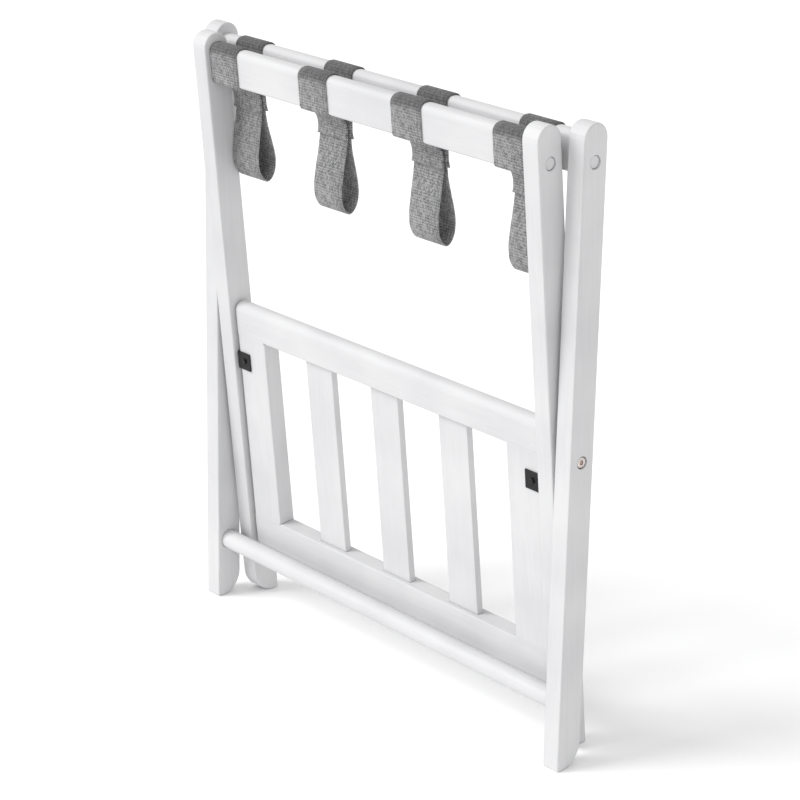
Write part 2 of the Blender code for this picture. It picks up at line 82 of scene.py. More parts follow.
# ---------------------------------------------------------------- node benches
class NodeBench:
    """A node tree that is put together in code."""

    tree: bpy.types.NodeTree

    def node(self, kind: str, **settings: object) -> bpy.types.Node:
        """Add a node.

        Args:
            kind: Blender's identifier of the node.
            settings: properties to set on it.

        Returns:
            The new node.
        """
        made = self.tree.nodes.new(kind)
        for key, value in settings.items():
            setattr(made, key, value)
        return made

    def feed(self, node: bpy.types.Node, *by_place: object, **by_name: object) -> bpy.types.Node:
        """Join or set the inputs of a node.

        Args:
            node: whose inputs they are.
            by_place: sockets or values in the inputs' order, with None for one left alone.
            by_name: sockets or values by the input's name, with _ for a space.

        Returns:
            The same node.
        """
        named = [(key.replace("_", " "), value) for key, value in by_name.items()]
        for key, value in [*enumerate(by_place), *named]:
            if isinstance(value, bpy.types.NodeSocket):
                self.tree.links.new(value, node.inputs[key])
            elif value is not None:
                node.inputs[key].default_value = value
        return node


class ShaderBench(NodeBench):
    """Holds one node material while it is being put together."""

    colour_inputs: tuple[int, int] = (6, 7)

    def __init__(self, name: str, viewport: Colour) -> None:
        """Start an empty material with a Principled shader.

        Args:
            name: name of the new material.
            viewport: flat colour shown where materials aren't rendered.
        """
        self.material: bpy.types.Material = bpy.data.materials.new(name)
        self.material.use_nodes = True
        self.material.diffuse_color = (*viewport, 1.0)
        self.tree = self.material.node_tree
        self.shader: bpy.types.Node = self.tree.nodes["Principled BSDF"]

    def math(self, operation: str, first: object, second: object = None,
             third: object = None) -> bpy.types.NodeSocket:
        """Add one Math node.

        Args:
            operation: Blender's name of the operation.
            first: socket or number for the first input.
            second: socket or number for the second input, if it has one.
            third: socket or number for the third input, if it has one.

        Returns:
            The node's output socket.
        """
        step = self.node("ShaderNodeMath", operation=operation)
        return self.feed(step, first, second, third).outputs[0]

    def shade(self, **inputs: object) -> bpy.types.Material:
        """Join or set the shader's inputs by name, and give the finished material."""
        self.feed(self.shader, **inputs)
        return self.material

    def wave(self, turns: bpy.types.NodeSocket) -> bpy.types.NodeSocket:
        """Sine wave from 0 to 1, one period to each turn."""
        sine = self.math("SINE", self.math("MULTIPLY", turns, 2 * math.pi))
        return self.math("MULTIPLY_ADD", sine, 0.5, 0.5)

    def object_place(self, scale: Triple = (1.0, 1.0, 1.0)) -> bpy.types.NodeSocket:
        """Object coordinates through a Mapping node.

        Args:
            scale: how many pattern units there are to a metre along each axis.

        Returns:
            The mapped vector.
        """
        coordinate = self.node("ShaderNodeTexCoord").outputs["Object"]
        return self.feed(self.node("ShaderNodeMapping"), coordinate, Scale=scale).outputs[0]

    def noise(self, vector: bpy.types.NodeSocket, scale: float, detail: float = 2.0,
              rough: float = 0.5) -> bpy.types.NodeSocket:
        """Add a Noise texture.

        Args:
            vector: where it is read.
            scale: size of its cells.
            detail: how many finer layers it has.
            rough: how strong the finer layers are.

        Returns:
            The noise value, from 0 to 1.
        """
        made = self.node("ShaderNodeTexNoise")
        return self.feed(made, vector, Scale=scale, Detail=detail, Roughness=rough).outputs[0]

    def spread(self, value: bpy.types.NodeSocket, low: float, high: float, to_low: float,
               to_high: float) -> bpy.types.NodeSocket:
        """Map a value from one range to another.

        Args:
            value: what is mapped.
            low: start of the range it has.
            high: end of the range it has.
            to_low: start of the range it gets.
            to_high: end of the range it gets.

        Returns:
            The mapped value.
        """
        made = self.node("ShaderNodeMapRange")
        return self.feed(made, value, low, high, to_low, to_high).outputs[0]

    def mix(self, share: bpy.types.NodeSocket, first: object, second: object) -> bpy.types.NodeSocket:
        """Mix two colours.

        Args:
            share: how much of the second there is.
            first: colour or socket at a share of 0.
            second: colour or socket at a share of 1.

        Returns:
            The mixed colour.
        """
        made = self.feed(self.node("ShaderNodeMix", data_type="RGBA"), share)
        for place, value in zip(self.colour_inputs, (first, second)):
            solid = value if isinstance(value, bpy.types.NodeSocket) else (*value, 1.0)
            self.feed(made, *[None] * place, solid)
        return made.outputs[2]

    def bump(self, height: bpy.types.NodeSocket, strength: float, distance: float,
             base: bpy.types.NodeSocket | None = None) -> bpy.types.NodeSocket:
        """Turn a height into a normal.

        Args:
            height: relief, from 0 to 1.
            strength: how much of it shows.
            distance: height of the relief in metres.
            base: normal that it is laid on, if any.

        Returns:
            The bumped normal.
        """
        made = self.node("ShaderNodeBump")
        self.feed(made, Strength=strength, Distance=distance, Height=height, Normal=base)
        return made.outputs[0]

    def soft_edge(self, radius: float) -> tuple[bpy.types.NodeSocket, bpy.types.NodeSocket]:
        """Rounded corners in the shading.

        Args:
            radius: corner radius in metres.

        Returns:
            The rounded normal, and a value that rises from 0 on flats to 1 on corners.
        """
        rounded = self.feed(self.node("ShaderNodeBevel", samples=6), Radius=radius)
        flat = self.node("ShaderNodeNewGeometry").outputs["Normal"]
        match = self.node("ShaderNodeVectorMath", operation="DOT_PRODUCT")
        self.feed(match, rounded.outputs[0], flat)
        corner = self.spread(match.outputs["Value"], 1.0, 0.86, 0.0, 1.0)
        return rounded.outputs[0], corner


# ---------------------------------------------------------------- finishes
@dataclass(frozen=True)
class SatinPaint:
    """Sprayed white satin paint over long-grained wood."""

    name: str = "satin_paint"
    tone: Colour = (0.600, 0.600, 0.606)
    deep_tone: Colour = (0.540, 0.540, 0.549)
    rub_tone: Colour = (0.350, 0.346, 0.338)
    grain_scale: float = 300.0
    corner_radius: float = 0.0010

    def make(self, lay: Lay) -> bpy.types.Material:
        """Build the paint for one grain direction.

        Args:
            lay: which way the grain runs.

        Returns:
            The material.
        """
        bench = ShaderBench(f"{self.name}_{lay.value}", self.tone)
        stretch = (1.0, 1.0, 0.045) if lay is Lay.UPRIGHT else (0.045, 1.0, 1.0)
        along = bench.object_place(stretch)
        plain = bench.object_place()
        grain = bench.noise(along, self.grain_scale, 3.0, 0.6)
        cloud = bench.noise(plain, 11.0, 2.0, 0.5)
        peel = bench.noise(plain, 620.0, 1.0, 0.4)
        wear = bench.noise(plain, 55.0, 4.0, 0.65)
        normal, corner = bench.soft_edge(self.corner_radius)

        shade = bench.math("ADD", bench.math("MULTIPLY", cloud, 0.7),
                           bench.math("MULTIPLY", grain, 0.3))
        colour = bench.mix(bench.spread(shade, 0.38, 0.62, 0.0, 1.0), self.deep_tone, self.tone)
        worn = bench.math("MULTIPLY", corner, bench.spread(wear, 0.42, 0.66, 0.10, 0.75))
        relief = bench.bump(grain, 0.22, 0.00012, normal)
        return bench.shade(
            Base_Color=bench.mix(worn, colour, self.rub_tone),
            Roughness=bench.spread(grain, 0.3, 0.7, 0.50, 0.62),
            Normal=bench.bump(peel, 0.10, 0.00006, relief),
            Coat_Weight=0.05, Coat_Roughness=0.40, Specular_IOR_Level=0.35)


@dataclass(frozen=True)
class HeatherWebbing:
    """Grey herringbone webbing, read along and across the band in metres, with painted shade on the wrap
    tops.
    """

    light: Colour = (0.385, 0.385, 0.387)
    dark: Colour = (0.034, 0.034, 0.036)
    twill_pitch: float = 0.0024
    chevron_half: float = 0.0033
    yarn_pitch: float = 0.0014
    rib_pitch: float = 0.0027
    twill_share: float = 0.48
    yarn_share: float = 0.22
    rib_share: float = 0.30
    # Painted shade on the wrap tops: the webbing is painted darker above this height, faded in over the
    # distance below it.
    painted_shade_height: float = 0.595
    painted_shade_fade: float = 0.006

    def make(self) -> bpy.types.Material:
        """Build the woven material."""
        bench = ShaderBench("heather_webbing", self.light)
        spot = bench.node("ShaderNodeUVMap", uv_map="UVMap").outputs["UV"]
        across, along, _up = bench.feed(bench.node("ShaderNodeSeparateXYZ"), spot).outputs

        turn = bench.math("PINGPONG", across, self.chevron_half)
        slant = bench.math("DIVIDE", bench.math("ADD", along, turn), self.twill_pitch)
        yarn_at = bench.math("DIVIDE", across, self.yarn_pitch)
        weave = bench.math("ADD", bench.math("MULTIPLY", bench.wave(slant), self.twill_share),
                           bench.math("MULTIPLY", bench.wave(yarn_at), self.yarn_share))
        rib = bench.wave(bench.math("DIVIDE", along, self.rib_pitch))
        weave = bench.math("ADD", weave, bench.math("MULTIPLY", rib, self.rib_share))

        cell = bench.feed(bench.node("ShaderNodeCombineXYZ"), bench.math("FLOOR", yarn_at),
                          bench.math("FLOOR", slant))
        heather = bench.node("ShaderNodeTexWhiteNoise", noise_dimensions="2D")
        bench.feed(heather, cell.outputs[0])
        fuzz = bench.noise(bench.object_place(), 1500.0, 2.0, 0.6)
        tide = bench.noise(bench.object_place(), 45.0, 2.0, 0.5)

        tone = bench.math("ADD", bench.math("MULTIPLY", weave, 0.50),
                          bench.math("MULTIPLY", heather.outputs["Value"], 0.34))
        tone = bench.math("ADD", tone, bench.math("MULTIPLY", tide, 0.16))
        cloth = bench.mix(bench.spread(tone, 0.14, 0.84, 0.0, 1.0), self.dark, self.light)
        # Painted shade: above a set height, on the tops of the wraps round the rails, the webbing goes
        # dark to stand in for the shade on the wrap tops.
        height = bench.feed(bench.node("ShaderNodeSeparateXYZ"), bench.object_place()).outputs[2]
        edge_wear_and_painted_top_shade = bench.spread(height, self.painted_shade_height - self.painted_shade_fade, self.painted_shade_height, 0.0, 0.62)
        body = bench.bump(weave, 0.75, 0.00042)
        return bench.shade(
            Base_Color=bench.mix(edge_wear_and_painted_top_shade, cloth, self.dark),
            Roughness=bench.spread(weave, 0.0, 1.0, 0.92, 0.72),
            Normal=bench.bump(fuzz, 0.25, 0.00012, body),
            Sheen_Weight=0.12, Sheen_Roughness=0.5, Specular_IOR_Level=0.25)


@dataclass(frozen=True)
class SewingThread:
    """Twisted polyester thread."""

    light: Colour = (0.420, 0.420, 0.425)
    dark: Colour = (0.150, 0.150, 0.154)

    def make(self) -> bpy.types.Material:
        """Build the thread material."""
        bench = ShaderBench("sewing_thread", self.light)
        bands = bench.node("ShaderNodeTexWave", wave_type="BANDS", bands_direction="DIAGONAL")
        bench.feed(bands, bench.object_place(), Scale=420.0, Distortion=0.6)
        twist = bands.outputs["Fac"]
        return bench.shade(
            Base_Color=bench.mix(twist, self.dark, self.light),
            Normal=bench.bump(twist, 0.5, 0.0001),
            Roughness=bench.spread(twist, 0.0, 1.0, 0.75, 0.5))


@dataclass(frozen=True)
class PlatedMetal:
    """Plated steel with faint machining marks and light scuffs."""

    name: str
    tone: Colour
    dull_tone: Colour
    smooth: float
    dull: float

    def make(self) -> bpy.types.Material:
        """Build the plated material."""
        bench = ShaderBench(self.name, self.tone)
        spot = bench.object_place()
        marks = bench.noise(bench.object_place((1.0, 6.0, 6.0)), 900.0, 2.0, 0.6)
        scuffs = bench.noise(spot, 260.0, 4.0, 0.65)
        normal, _corner = bench.soft_edge(0.0004)
        return bench.shade(
            Base_Color=bench.mix(bench.spread(scuffs, 0.40, 0.68, 0.0, 1.0), self.tone, self.dull_tone),
            Roughness=bench.spread(scuffs, 0.35, 0.70, self.smooth, self.dull),
            Normal=bench.bump(marks, 0.15, 0.00004, normal),
            Metallic=1.0)


@dataclass(frozen=True)
class BlackCoating:
    """Black powder coat, fine textured, worn a little along its edges."""

    tone: Colour = (0.008, 0.008, 0.009)
    rub_tone: Colour = (0.060, 0.060, 0.063)

    def make(self) -> bpy.types.Material:
        """Build the coated material."""
        bench = ShaderBench("black_coating", self.tone)
        spot = bench.object_place()
        grit = bench.noise(spot, 1700.0, 2.0, 0.5)
        wear = bench.noise(spot, 420.0, 3.0, 0.6)
        normal, corner = bench.soft_edge(0.0005)
        # Edge wear: the coat is rubbed lighter along its corners.
        edge_wear_and_painted_top_shade = bench.math("MULTIPLY", corner, bench.spread(wear, 0.40, 0.62, 0.0, 0.8))
        return bench.shade(
            Base_Color=bench.mix(edge_wear_and_painted_top_shade, self.tone, self.rub_tone),
            Roughness=bench.spread(grit, 0.3, 0.7, 0.38, 0.56),
            Normal=bench.bump(grit, 0.35, 0.00008, normal),
            Specular_IOR_Level=0.26)


@dataclass(frozen=True)
class BareBeech:
    """Unpainted beech dowel with its short flecks."""

    tone: Colour = (0.620, 0.440, 0.270)
    fleck: Colour = (0.420, 0.270, 0.150)

    def make(self) -> bpy.types.Material:
        """Build the wood material."""
        bench = ShaderBench("bare_beech", self.tone)
        fibre = bench.noise(bench.object_place((0.08, 1.0, 1.0)), 900.0, 3.0, 0.6)
        return bench.shade(
            Base_Color=bench.mix(bench.spread(fibre, 0.45, 0.68, 0.0, 1.0), self.tone, self.fleck),
            Roughness=bench.spread(fibre, 0.3, 0.7, 0.55, 0.72),
            Normal=bench.bump(fibre, 0.3, 0.0001))


@dataclass(frozen=True)
class MouldedNylon:
    """White moulded nylon with a fine matt skin."""

    tone: Colour = (0.700, 0.700, 0.680)
    shade: Colour = (0.600, 0.600, 0.580)

    def make(self) -> bpy.types.Material:
        """Build the plastic material."""
        bench = ShaderBench("moulded_nylon", self.tone)
        skin = bench.noise(bench.object_place(), 1300.0, 2.0, 0.5)
        cloud = bench.noise(bench.object_place(), 90.0, 2.0, 0.5)
        return bench.shade(
            Base_Color=bench.mix(cloud, self.shade, self.tone),
            Roughness=bench.spread(skin, 0.3, 0.7, 0.42, 0.56),
            Normal=bench.bump(skin, 0.2, 0.00005))


@dataclass(frozen=True)
class StudioFloor:
    """Seamless white floor, very slightly uneven."""

    tone: Colour = (0.960, 0.960, 0.962)
    shade: Colour = (0.940, 0.940, 0.944)

    def make(self) -> bpy.types.Material:
        """Build the floor material."""
        bench = ShaderBench("studio_floor", self.tone)
        cloud = bench.noise(bench.object_place(), 1.4, 2.0, 0.5)
        return bench.shade(Base_Color=bench.mix(cloud, self.shade, self.tone), Roughness=0.9,
                           Specular_IOR_Level=0.1)


# ---------------------------------------------------------------- the rack's own places
@dataclass
class RackPlaces:
    """Where the two leaning frames stand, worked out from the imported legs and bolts."""

    leg_depth: float = 0.028
    rail_half: float = 0.008
    rail_height: float = 0.0365
    rail_top_drop: float = 0.0102
    top_round: float = 0.0065
    bottom_round: float = 0.0025
    fit: float = 0.0003
    bolt_z: float = field(init=False, default=0.0)
    lean: float = field(init=False, default=0.0)
    leg_above: float = field(init=False, default=0.0)

    def __post_init__(self) -> None:
        """Read the bolt line, the lean and the leg's reach above the bolt from the model."""
        low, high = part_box("pivot_bolt_left")
        self.bolt_z = (low[2] + high[2]) / 2
        low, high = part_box("inner_leg_left")
        radius = self.leg_depth / 2
        rise = high[2] - radius - self.bolt_z
        self.lean = math.atan2(-low[1] - radius, rise)
        self.leg_above = math.hypot(-low[1] - radius, rise) + radius

    @property
    def rail_top(self) -> float:
        """Top of a top rail above the bolt, along the leg."""
        return self.leg_above - self.rail_top_drop

    @property
    def rail_bottom(self) -> float:
        """Bottom of a top rail above the bolt, along the leg."""
        return self.rail_top - self.rail_height

    def upright(self, point: Point2, side: Side) -> Point2:
        """Turn a point of a leaning frame to the standing rack.

        Args:
            point: (y, z) in the leaning frame, from the bolt, with the middle of the rack at +y.
            side: which frame it belongs to.

        Returns:
            The (y, z) in the rack.
        """
        c, s = math.cos(self.lean), math.sin(self.lean)
        y, z = point[0] * c - point[1] * s, point[0] * s + point[1] * c
        return (y if side is Side.FRONT else -y), z + self.bolt_z


# ---------------------------------------------------------------- node-built shapes
class ShapeTree(NodeBench):
    """A geometry node tree with named inputs."""

    def __init__(self, name: str) -> None:
        """Start an empty tree with a geometry input and output."""
        self.tree = bpy.data.node_groups.new(name, "GeometryNodeTree")
        self.tree.is_modifier = True
        face = self.tree.interface
        face.new_socket("Geometry", in_out="INPUT", socket_type="NodeSocketGeometry")
        face.new_socket("Geometry", in_out="OUTPUT", socket_type="NodeSocketGeometry")
        self.entry: bpy.types.Node = self.tree.nodes.new("NodeGroupInput")
        self.exit: bpy.types.Node = self.tree.nodes.new("NodeGroupOutput")

    def number(self, name: str, value: float) -> None:
        """Add a named size input."""
        socket = self.tree.interface.new_socket(name, in_out="INPUT", socket_type="NodeSocketFloat")
        socket.default_value = value

    def finish(self, name: str) -> None:
        """Add a named material input."""
        self.tree.interface.new_socket(name, in_out="INPUT", socket_type="NodeSocketMaterial")

    def steered_line(self) -> bpy.types.Node:
        """Turn the guide into a curve whose normal is set, and give the node that sets it."""
        path = self.feed(self.node("GeometryNodeMeshToCurve"), self.entry.outputs["Geometry"])
        return self.feed(self.node("GeometryNodeSetCurveNormal", mode="FREE"), path.outputs[0])

    def sweep(self, curve: bpy.types.NodeSocket, section: bpy.types.NodeSocket) -> bpy.types.NodeSocket:
        """Sweep a closed section along a curve and cap its ends."""
        made = self.node("GeometryNodeCurveToMesh")
        return self.feed(made, Curve=curve, Profile_Curve=section, Fill_Caps=True).outputs[0]

    def identifier(self, name: str) -> str:
        """Identifier of the input that has this name."""
        for item in self.tree.interface.items_tree:
            if item.item_type == "SOCKET" and item.in_out == "INPUT" and item.name == name:
                return item.identifier
        raise KeyError(name)

    def close(self, geometry: bpy.types.NodeSocket) -> None:
        """End the tree in Realize Instances and Set Material.

        Args:
            geometry: what the tree has made.
        """
        real = self.feed(self.node("GeometryNodeRealizeInstances"), geometry)
        dressed = self.node("GeometryNodeSetMaterial")
        self.feed(dressed, Geometry=real.outputs[0], Material=self.entry.outputs["Finish"])
        self.feed(self.exit, dressed.outputs[0])

    def run(self, name: str, lines: Sequence[Sequence[Vector]], finish: bpy.types.Material,
            **sizes: float) -> bpy.types.Object:
        """Run the tree along open lines and keep the result as a plain mesh.

        Args:
            name: name of the new piece.
            lines: one run of points for each line.
            finish: material that the tree sets.
            sizes: values of the named inputs, with _ for a space.

        Returns:
            The finished piece, with no modifier left on it.
        """
        guide = bpy.data.meshes.new(name + "_guide")
        points: list[Vector] = []
        edges: list[tuple[int, int]] = []
        for line in lines:
            start = len(points)
            points.extend(line)
            edges.extend((start + i, start + i + 1) for i in range(len(line) - 1))
        guide.from_pydata([tuple(p) for p in points], edges, [])
        carrier = bpy.data.objects.new(name + "_guide", guide)
        bpy.context.scene.collection.objects.link(carrier)
        modifier = carrier.modifiers.new("shape", "NODES")
        modifier.node_group = self.tree
        modifier[self.identifier("Finish")] = finish
        for key, value in sizes.items():
            modifier[self.identifier(key.replace("_", " "))] = value
        bpy.context.view_layer.update()
        graph = bpy.context.evaluated_depsgraph_get()
        mesh = bpy.data.meshes.new_from_object(carrier.evaluated_get(graph))
        mesh.name = name
        bpy.data.objects.remove(carrier, do_unlink=True)
        bpy.data.meshes.remove(guide)
        piece = bpy.data.objects.new(name, mesh)
        bpy.context.scene.collection.objects.link(piece)
        close_shell(mesh)
        return piece


def close_shell(mesh: bpy.types.Mesh) -> None:
    """Merge doubled points, turn every face outwards and shade the mesh smooth.

    Args:
        mesh: mesh to finish in place.
    """
    work = bmesh.new()
    work.from_mesh(mesh)
    bmesh.ops.remove_doubles(work, verts=work.verts, dist=1e-6)
    bmesh.ops.recalc_face_normals(work, faces=work.faces)
    work.to_mesh(mesh)
    work.free()
    mesh.shade_smooth()
    mesh.set_sharp_from_angle(angle=math.radians(50))


def webbing_tree() -> ShapeTree:
    """Tree that sweeps a flat band with rounded selvedges along a line.

    Returns:
        The tree. Its band carries a UV map in metres, across and along.
    """
    shape = ShapeTree("webbing_band")
    shape.number("Width", 0.041)
    shape.number("Thickness", 0.0015)
    shape.number("Selvedge Round", 0.0006)
    shape.number("Ripple", 0.0002)
    shape.finish("Finish")
    entry = shape.entry

    level = shape.feed(shape.steered_line(), Normal=(1.0, 0.0, 0.0))
    reach = shape.node("GeometryNodeSplineParameter")
    keep_along = shape.node("GeometryNodeCaptureAttribute", domain="POINT")
    keep_along.capture_items.new("FLOAT", "Along")
    shape.feed(keep_along, Geometry=level.outputs[0], Along=reach.outputs["Length"])

    section = shape.node("GeometryNodeCurvePrimitiveQuadrilateral", mode="RECTANGLE")
    shape.feed(section, Width=entry.outputs["Width"], Height=entry.outputs["Thickness"])
    rounded = shape.node("GeometryNodeFilletCurve", mode="POLY")
    shape.feed(rounded, Curve=section.outputs[0], Radius=entry.outputs["Selvedge Round"])
    finer = shape.feed(shape.node("GeometryNodeSubdivideCurve"), Curve=rounded.outputs[0], Cuts=2)
    spot = shape.node("GeometryNodeInputPosition").outputs[0]
    sideways = shape.feed(shape.node("ShaderNodeSeparateXYZ"), spot).outputs[0]
    keep_across = shape.node("GeometryNodeCaptureAttribute", domain="POINT")
    keep_across.capture_items.new("FLOAT", "Across")
    shape.feed(keep_across, Geometry=finer.outputs[0], Across=sideways)
    band = shape.sweep(keep_along.outputs["Geometry"], keep_across.outputs["Geometry"])

    wave = shape.feed(shape.node("ShaderNodeTexNoise", noise_dimensions="3D"), Scale=38.0)
    centred = shape.node("ShaderNodeVectorMath", operation="SUBTRACT")
    shape.feed(centred, wave.outputs["Color"], (0.5, 0.5, 0.5))
    sized = shape.node("ShaderNodeVectorMath", operation="SCALE")
    shape.feed(sized, centred.outputs[0], Scale=entry.outputs["Ripple"])
    moved = shape.node("GeometryNodeSetPosition")
    shape.feed(moved, Geometry=band, Offset=sized.outputs[0])

    uv = shape.feed(shape.node("ShaderNodeCombineXYZ"), keep_across.outputs["Across"],
                    keep_along.outputs["Along"])
    store = shape.node("GeometryNodeStoreNamedAttribute", data_type="FLOAT2", domain="CORNER")
    shape.feed(store, Geometry=moved.outputs[0], Name="UVMap", Value=uv.outputs[0])
    shape.close(store.outputs[0])
    return shape


def stitch_tree() -> ShapeTree:
    """Tree that lays short stitches along lines.

    Returns:
        The tree, with a fixed seed for the small differences between its stitches.
    """
    shape = ShapeTree("stitch_row")
    shape.number("Pitch", 0.0030)
    shape.number("Stitch Length", 0.0022)
    shape.number("Thread", 0.00055)
    shape.finish("Finish")
    entry = shape.entry

    path = shape.feed(shape.node("GeometryNodeMeshToCurve"), entry.outputs["Geometry"])
    spaced = shape.node("GeometryNodeResampleCurve", mode="LENGTH")
    shape.feed(spaced, Curve=path.outputs[0], Length=entry.outputs["Pitch"])

    bead = shape.node("GeometryNodeMeshUVSphere")
    shape.feed(bead, Segments=8, Rings=5, Radius=0.5)
    thread = entry.outputs["Thread"]
    size = shape.node("ShaderNodeCombineXYZ")
    shape.feed(size, entry.outputs["Stitch Length"], thread, thread)
    drawn = shape.node("GeometryNodeTransform")
    shape.feed(drawn, Geometry=bead.outputs["Mesh"], Scale=size.outputs[0])

    way = shape.node("GeometryNodeInputTangent")
    turned = shape.node("FunctionNodeAlignRotationToVector", axis="X")
    shape.feed(turned, Vector=way.outputs[0])
    loose = shape.node("FunctionNodeRandomValue", data_type="FLOAT")
    shape.feed(loose, None, None, 0.86, 1.08, Seed=7)
    rows = shape.node("GeometryNodeInstanceOnPoints")
    shape.feed(rows, Points=spaced.outputs[0], Instance=drawn.outputs[0],
               Rotation=turned.outputs[0], Scale=loose.outputs[1])
    shape.close(rows.outputs[0])
    return shape


def film_tree() -> ShapeTree:
    """Tree that lays a thin flat film with feathered edges along level lines.

    Returns:
        The tree. The film stands upright and leans as its Lean input says, in radians.
    """
    shape = ShapeTree("seam_film")
    shape.number("Width", 0.0036)
    shape.number("Thickness", 0.00016)
    shape.number("Lean", 0.0)
    shape.finish("Finish")
    entry = shape.entry

    lean = entry.outputs["Lean"]
    sine = shape.feed(shape.node("ShaderNodeMath", operation="SINE"), lean)
    cosine = shape.feed(shape.node("ShaderNodeMath", operation="COSINE"), lean)
    opposite = shape.node("ShaderNodeMath", operation="MULTIPLY")
    shape.feed(opposite, sine.outputs[0], -1.0)
    direction = shape.node("ShaderNodeCombineXYZ")
    shape.feed(direction, None, opposite.outputs[0], cosine.outputs[0])
    upward = shape.feed(shape.steered_line(), Normal=direction.outputs[0])

    section = shape.node("GeometryNodeCurvePrimitiveCircle", mode="RADIUS")
    shape.feed(section, Resolution=12, Radius=0.5)
    size = shape.node("ShaderNodeCombineXYZ")
    shape.feed(size, entry.outputs["Width"], entry.outputs["Thickness"], 1.0)
    flat = shape.node("GeometryNodeTransform")
    shape.feed(flat, Geometry=section.outputs[0], Scale=size.outputs[0])

    shape.close(shape.sweep(upward.outputs[0], flat.outputs[0]))
    return shape


# ---------------------------------------------------------------- sub-assemblies
@dataclass
class PaintedTimber:
    """All the white painted wood: legs, top rails, foot dowel, shelf and screw plugs."""

    finish: SatinPaint = field(default_factory=SatinPaint)
    upright_nodes: tuple[str, ...] = (
        "outer_leg_left", "outer_leg_right", "inner_leg_left", "inner_leg_right",
        "shelf_stile_left", "shelf_stile_right", "shelf_slat_1", "shelf_slat_2", "shelf_slat_3",
    )
    across_nodes: tuple[str, ...] = (
        "front_top_rail", "rear_top_rail", "foot_dowel", "shelf_nose_rail", "shelf_pivot_rail",
        "outer_screw_plug_left", "outer_screw_plug_right",
        "inner_screw_plug_left", "inner_screw_plug_right",
    )

    def dress(self) -> None:
        """Give every wooden node its paint."""
        for lay, names in ((Lay.UPRIGHT, self.upright_nodes), (Lay.ACROSS, self.across_nodes)):
            paint = self.finish.make(lay)
            for name in names:
                dress_node(name, paint)


@dataclass
class ShelfSeams:
    """Filler and paint that close the shelf's glued joints, on both of its faces."""

    places: RackPlaces
    shelf_half_thick: float = 0.009
    shelf_top: float = 0.030
    shelf_length: float = 0.272
    nose_tall: float = 0.034
    foot_tall: float = 0.0365
    stile_wide: float = 0.0419
    edge_round: float = 0.0012
    film_wide: float = 0.0036
    film_thick: float = 0.00016
    film_gap: float = 0.00002
    finish: SatinPaint = field(default_factory=lambda: SatinPaint("seam_paint", corner_radius=0.0))

    def joint_levels(self) -> tuple[float, float]:
        """Middle of the film at the nose rail and at the foot rail, above the bolt line."""
        inset = self.edge_round / 4
        nose = self.shelf_top - self.nose_tall - self.places.fit / 2 + inset
        foot = self.shelf_top - self.shelf_length + self.foot_tall + self.places.fit / 2 - inset
        return nose, foot

    def seam_lines(self) -> list[list[Vector]]:
        """Lines across the stiles' ends, on the front and the back of the shelf.

        Returns:
            One straight run of points for each joint and face.
        """
        low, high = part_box("shelf_nose_rail")
        inner = self.stile_wide - self.edge_round
        runs = ((low[0] + self.edge_round, low[0] + inner), (high[0] - inner, high[0] - self.edge_round))
        off = self.shelf_half_thick + self.film_gap + self.film_thick / 2
        lines: list[list[Vector]] = []
        for level in self.joint_levels():
            for face in (-off, off):
                y, z = self.places.upright((face, level), Side.FRONT)
                lines.extend([Vector((a + (b - a) * k / 8, y, z)) for k in range(9)] for a, b in runs)
        return lines

    def build(self) -> None:
        """Build the films as one piece that moves with the shelf."""
        film = film_tree().run("shelf_seam_paint", self.seam_lines(), self.finish.make(Lay.ACROSS),
                               Width=self.film_wide, Thickness=self.film_thick,
                               Lean=self.places.lean)
        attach(film, "shelf")
        report(film)


@dataclass
class Hardware:
    """Bolts, washers, nuts, screws, pins, catch plates and the hidden dowels."""

    nickel: PlatedMetal = field(default_factory=lambda: PlatedMetal(
        "warm_nickel", (0.700, 0.630, 0.595), (0.520, 0.470, 0.440), 0.22, 0.42))
    zinc: PlatedMetal = field(default_factory=lambda: PlatedMetal(
        "zinc_plate", (0.560, 0.570, 0.590), (0.400, 0.410, 0.420), 0.30, 0.50))
    coating: BlackCoating = field(default_factory=BlackCoating)
    beech: BareBeech = field(default_factory=BareBeech)
    nylon: MouldedNylon = field(default_factory=MouldedNylon)

    def dress(self) -> None:
        """Give every metal, plastic and hidden node its finish."""
        kinds = (
            (self.nickel.make(), ("pivot_bolt",)),
            (self.nylon.make(), ("pivot_washer",)),
            (self.zinc.make(), ("pivot_insert_nut", "rail_screw", "shelf_pivot_pin")),
            (self.coating.make(), ("shelf_catch", "catch_screw")),
            (self.beech.make(), ("shelf_joint_dowel",)),
        )
        for material, words in kinds:
            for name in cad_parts:
                if any(word in name for word in words):
                    dress_node(name, material)


def dress_node(name: str, material: bpy.types.Material) -> None:
    """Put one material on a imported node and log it.

    Args:
        name: name of the node.
        material: its finish.
    """
    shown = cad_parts[name]
    shown.data.materials.clear()
    shown.data.materials.append(material)
    LOG.info("node %s wears %s", name, material.name)


